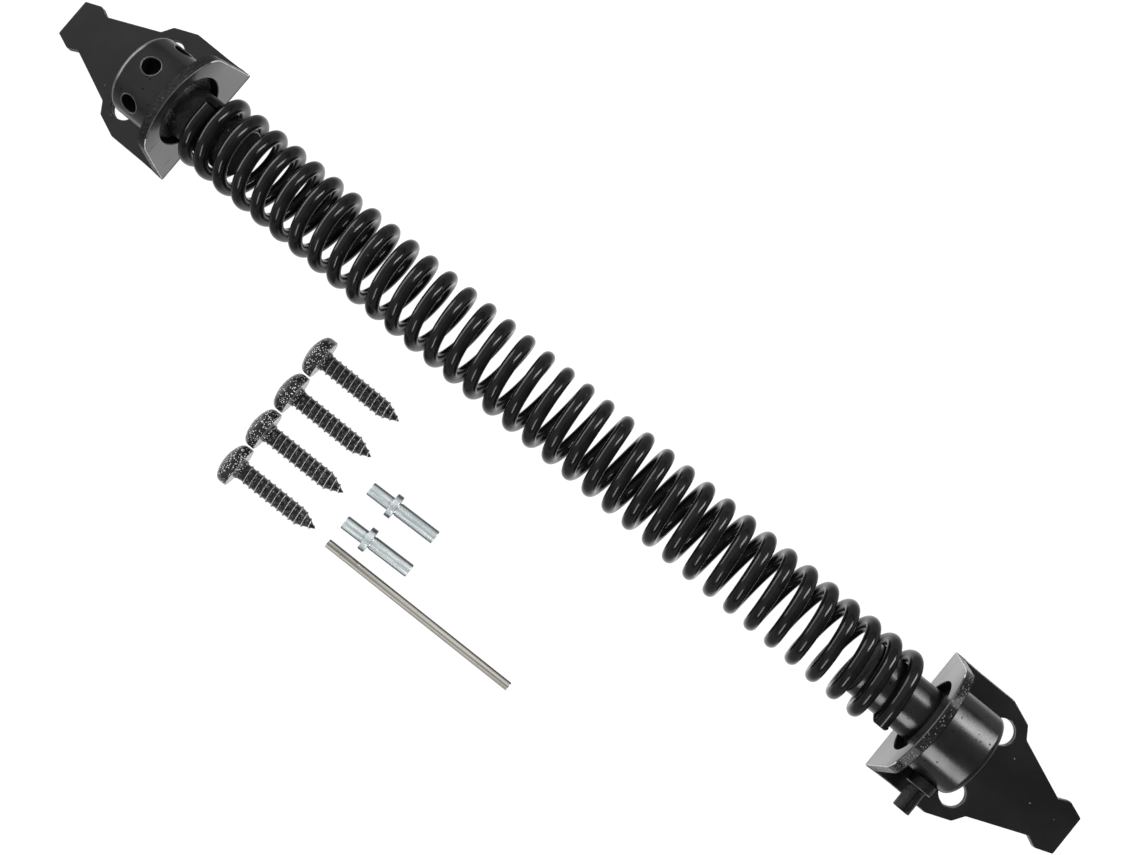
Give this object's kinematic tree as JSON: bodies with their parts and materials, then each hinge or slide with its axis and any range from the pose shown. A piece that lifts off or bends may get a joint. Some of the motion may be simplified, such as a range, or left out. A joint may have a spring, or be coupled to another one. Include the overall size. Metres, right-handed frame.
{
  "type": "self-closing gate hinge",
  "caption": "Torsion-spring gate hinge: a long coil spring between two spools that turn in stamped leaf brackets, with its wood screws, tension pins and winding rod.",
  "frame": {"origin": "on the back of the post leaf, midway between its two screw holes", "axes": "+X along the hinge axis towards the gate leaf, +Z away from the surface it is screwed to"},
  "size_m": [0.35, 0.0905, 0.029],
  "materials": {
    "black_paint": "satin black powder coat",
    "black_casting": "glossy black paint over a casting",
    "black_spring": "semi-gloss black",
    "black_screw": "speckled black coating",
    "zinc_plate": "bright zinc plate",
    "bare_steel": "drawn steel"
  },
  "bodies": {
    "post_bracket": {"post_bracket": "black_paint"},
    "winding_spool": {"winding_spool": "black_casting", "torsion_spring": "black_spring"},
    "gate_spool": {"gate_spool": "black_casting", "stop_pin": "black_casting"},
    "gate_bracket": {"gate_bracket": "black_paint"},
    "screw_1": {"screw_1": "black_screw"},
    "screw_2": {"screw_2": "black_screw"},
    "screw_3": {"screw_3": "black_screw"},
    "screw_4": {"screw_4": "black_screw"},
    "tension_pin_1": {"tension_pin_1": "zinc_plate"},
    "tension_pin_2": {"tension_pin_2": "zinc_plate"},
    "tension_rod": {"tension_rod": "bare_steel"}
  },
  "joints": [
    {"name": "winding_turn", "type": "hinge", "parent": "post_bracket", "child": "winding_spool", "pos_m": [0.018, 0, 0.0154], "axis": [1, 0, 0], "continuous": true},
    {"name": "spring_twist", "type": "hinge", "parent": "winding_spool", "child": "gate_spool", "pos_m": [0.146, 0, 0.0154], "axis": [1, 0, 0], "range_deg": [0, 300], "stiffness_Nm_per_rad": 0.94, "deforming": ["torsion_spring"]},
    {"name": "gate_leaf_turn", "type": "hinge", "parent": "gate_spool", "child": "gate_bracket", "pos_m": [0.274, 0, 0.0154], "axis": [1, 0, 0], "range_deg": [-28, 208]},
    {"name": "screw_1_lift", "type": "slide", "parent": "post_bracket", "child": "screw_1", "axis": [0, 0, 1], "range_m": [0, 0.06]},
    {"name": "screw_2_lift", "type": "slide", "parent": "post_bracket", "child": "screw_2", "axis": [0, 0, 1], "range_m": [0, 0.06]},
    {"name": "screw_3_lift", "type": "slide", "parent": "post_bracket", "child": "screw_3", "axis": [0, 0, 1], "range_m": [0, 0.06]},
    {"name": "screw_4_lift", "type": "slide", "parent": "post_bracket", "child": "screw_4", "axis": [0, 0, 1], "range_m": [0, 0.06]},
    {"name": "tension_pin_1_lift", "type": "slide", "parent": "post_bracket", "child": "tension_pin_1", "axis": [0, 0, 1], "range_m": [0, 0.06]},
    {"name": "tension_pin_2_lift", "type": "slide", "parent": "post_bracket", "child": "tension_pin_2", "axis": [0, 0, 1], "range_m": [0, 0.06]},
    {"name": "tension_rod_lift", "type": "slide", "parent": "post_bracket", "child": "tension_rod", "axis": [0, 0, 1], "range_m": [0, 0.06]}
  ]
}
